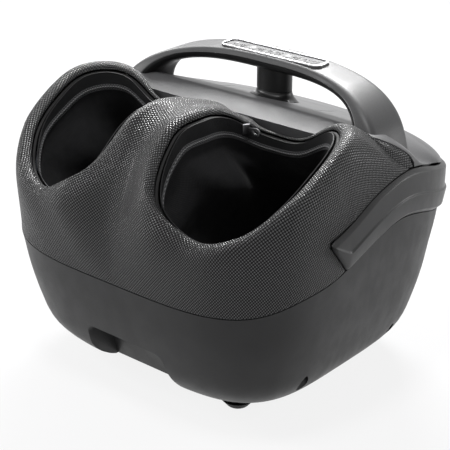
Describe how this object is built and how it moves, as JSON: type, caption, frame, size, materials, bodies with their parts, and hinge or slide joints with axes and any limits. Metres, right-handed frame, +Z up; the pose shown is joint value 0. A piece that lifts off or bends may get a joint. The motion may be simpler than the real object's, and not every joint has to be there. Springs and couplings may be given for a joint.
{
  "type": "foot massager",
  "caption": "Foot massager with a pocket for each foot, turning massage discs under the soles, air bags, a carrying handle and a row of push buttons.",
  "frame": {"origin": "on the floor, under the middle of the body", "axes": "+X to the object's right, +Y to the rear, away from the user, +Z up"},
  "size_m": [0.3784, 0.344, 0.2957],
  "materials": {
    "bladder_film": "matte film",
    "circuit_board": "solder mask",
    "cloth": "smooth knitted cloth",
    "cover_plastic": "semi-gloss with small raised dots",
    "dark_plastic": "dark satin",
    "deck_plastic": "satin metallic grey",
    "heater_ceramic": "unglazed ceramic",
    "housing_plastic": "plain moulded",
    "node_plastic": "plain moulded",
    "rubber": "matte",
    "silver_trim": "satin chrome",
    "steel": "plain",
    "tub_plastic": "fine-grained matte"
  },
  "bodies": {
    "housing": {"air_pump": "housing_plastic", "air_valve": "housing_plastic", "base_shell": "tub_plastic", "bottom_plate": "dark_plastic", "chassis": "housing_plastic", "foot_front_left": "rubber", "foot_front_right": "rubber", "foot_rear_left": "rubber", "foot_rear_right": "rubber", "front_cover": "cover_plastic", "handle_lower_shell": "dark_plastic", "handle_upper_shell": "deck_plastic", "left_gasket": "rubber", "left_heater": "heater_ceramic", "left_instep_airbag": "bladder_film", "left_liner": "cloth", "left_motor": "steel", "left_outer_airbag": "bladder_film", "left_zip_slider": "steel", "main_board": "circuit_board", "panel_board": "circuit_board", "panel_plate": "dark_plastic", "panel_trim": "silver_trim", "post_collar": "dark_plastic", "post_sleeve": "dark_plastic", "power_inlet": "dark_plastic", "rear_deck": "deck_plastic", "right_gasket": "rubber", "right_heater": "heater_ceramic", "right_instep_airbag": "bladder_film", "right_liner": "cloth", "right_motor": "steel", "right_outer_airbag": "bladder_film", "right_zip_slider": "steel", "trim_belt": "tub_plastic", "tub_screw_1": "steel", "tub_screw_2": "steel", "tub_screw_3": "steel", "tub_screw_4": "steel"},
    "button_1": {"button_1": "dark_plastic"},
    "button_2": {"button_2": "dark_plastic"},
    "button_3": {"button_3": "dark_plastic"},
    "button_4": {"button_4": "dark_plastic"},
    "button_5": {"button_5": "dark_plastic"},
    "left_worm": {"left_worm_shaft": "steel"},
    "left_front_disc": {"left_front_disc": "node_plastic"},
    "left_rear_disc": {"left_rear_disc": "node_plastic"},
    "left_puller": {"left_zip_puller": "steel"},
    "right_worm": {"right_worm_shaft": "steel"},
    "right_front_disc": {"right_front_disc": "node_plastic"},
    "right_rear_disc": {"right_rear_disc": "node_plastic"},
    "right_puller": {"right_zip_puller": "steel"}
  },
  "joints": [
    {"name": "button_1_press", "type": "slide", "parent": "housing", "child": "button_1", "axis": [0, 0, -1], "range_m": [0, 0.0008], "stiffness_N_per_m": 500},
    {"name": "button_2_press", "type": "slide", "parent": "housing", "child": "button_2", "axis": [0, 0, -1], "range_m": [0, 0.0008], "stiffness_N_per_m": 500},
    {"name": "button_3_press", "type": "slide", "parent": "housing", "child": "button_3", "axis": [0, 0, -1], "range_m": [0, 0.0008], "stiffness_N_per_m": 500},
    {"name": "button_4_press", "type": "slide", "parent": "housing", "child": "button_4", "axis": [0, 0, -1], "range_m": [0, 0.0008], "stiffness_N_per_m": 500},
    {"name": "button_5_press", "type": "slide", "parent": "housing", "child": "button_5", "axis": [0, 0, -1], "range_m": [0, 0.0008], "stiffness_N_per_m": 500},
    {"name": "left_worm_spin", "type": "hinge", "parent": "housing", "child": "left_worm", "pos_m": [-0.059, 0, 0.0631], "axis": [0, 1, 0], "continuous": true},
    {"name": "left_front_disc_spin", "type": "hinge", "parent": "housing", "child": "left_front_disc", "pos_m": [-0.09, -0.058, 0.0918], "axis": [0, 0, 1], "continuous": true},
    {"name": "left_rear_disc_spin", "type": "hinge", "parent": "housing", "child": "left_rear_disc", "pos_m": [-0.09, 0.042, 0.0918], "axis": [0, 0, 1], "continuous": true},
    {"name": "left_puller_swing", "type": "hinge", "parent": "housing", "child": "left_puller", "pos_m": [-0.04652, -0.02238, 0.25364], "axis": [0.5093, -0.8606, 0], "range_deg": [-100, 60]},
    {"name": "right_worm_spin", "type": "hinge", "parent": "housing", "child": "right_worm", "pos_m": [0.059, 0, 0.0631], "axis": [0, 1, 0], "continuous": true},
    {"name": "right_front_disc_spin", "type": "hinge", "parent": "housing", "child": "right_front_disc", "pos_m": [0.09, -0.058, 0.0918], "axis": [0, 0, 1], "continuous": true},
    {"name": "right_rear_disc_spin", "type": "hinge", "parent": "housing", "child": "right_rear_disc", "pos_m": [0.09, 0.042, 0.0918], "axis": [0, 0, 1], "continuous": true},
    {"name": "right_puller_swing", "type": "hinge", "parent": "housing", "child": "right_puller", "pos_m": [0.04652, -0.02238, 0.25364], "axis": [0.5093, 0.8606, 0], "range_deg": [-100, 60]}
  ],
  "couplings": [
    {"joint": "left_front_disc_spin", "follows": "left_worm_spin", "ratio": 0.05},
    {"joint": "left_rear_disc_spin", "follows": "left_worm_spin", "ratio": 0.05},
    {"joint": "right_front_disc_spin", "follows": "right_worm_spin", "ratio": -0.05},
    {"joint": "right_rear_disc_spin", "follows": "right_worm_spin", "ratio": -0.05}
  ]
}
